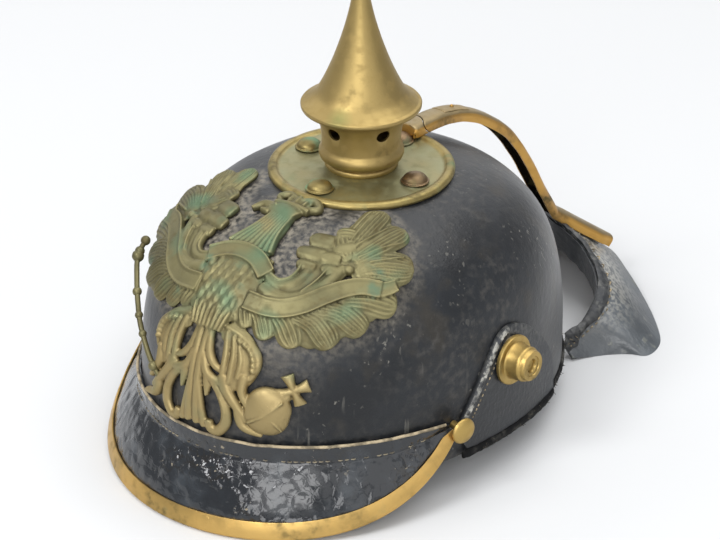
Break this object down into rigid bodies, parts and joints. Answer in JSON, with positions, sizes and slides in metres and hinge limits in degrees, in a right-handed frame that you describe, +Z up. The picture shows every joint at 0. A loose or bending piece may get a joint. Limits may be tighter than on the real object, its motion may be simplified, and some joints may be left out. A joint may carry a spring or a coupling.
{
  "type": "spiked leather helmet",
  "caption": "Pressed leather helmet with a brass spike on a round base, an eagle plate, brass-edged front visor, side posts, and a sprung rear spine carrying a torn rear visor.",
  "frame": {"origin": "on the surface that the helmet stands on, under the middle of its bounding box", "axes": "+X to the wearer's left, -Y the way the eagle faces, +Z up along the spike"},
  "size_m": [0.2198, 0.3514, 0.2337],
  "materials": {
    "skull_leather": "satin blackened leather, dusty and scuffed",
    "patent_leather": "glossy crackled black lacquer with flaked specks",
    "rear_leather": "dull worn black leather with raw brown edges",
    "trim_brass": "satin brass with light tarnish",
    "spike_brass": "spun satin brass",
    "base_brass": "olive tarnished brass with a brighter rim",
    "spine_brass": "worn brass, greyed on top",
    "eagle_brass": "stamped brass with verdigris in the recesses"
  },
  "bodies": {
    "root": {"skull": "skull_leather", "front_visor": "patent_leather", "visor_trim": "trim_brass", "spike_base": "base_brass", "spike_neck": "spike_brass", "spike": "spike_brass", "rear_spine": "spine_brass", "rear_visor": "rear_leather", "eagle_plate": "eagle_brass", "base_stud_front": "base_brass", "base_stud_left": "base_brass", "base_stud_back": "base_brass", "base_stud_right": "base_brass", "trim_stud_left": "trim_brass", "trim_stud_right": "trim_brass", "ear_patch_left": "rear_leather", "ear_patch_right": "rear_leather", "side_post_left": "trim_brass", "side_post_right": "trim_brass"}
  },
  "joints": []
}
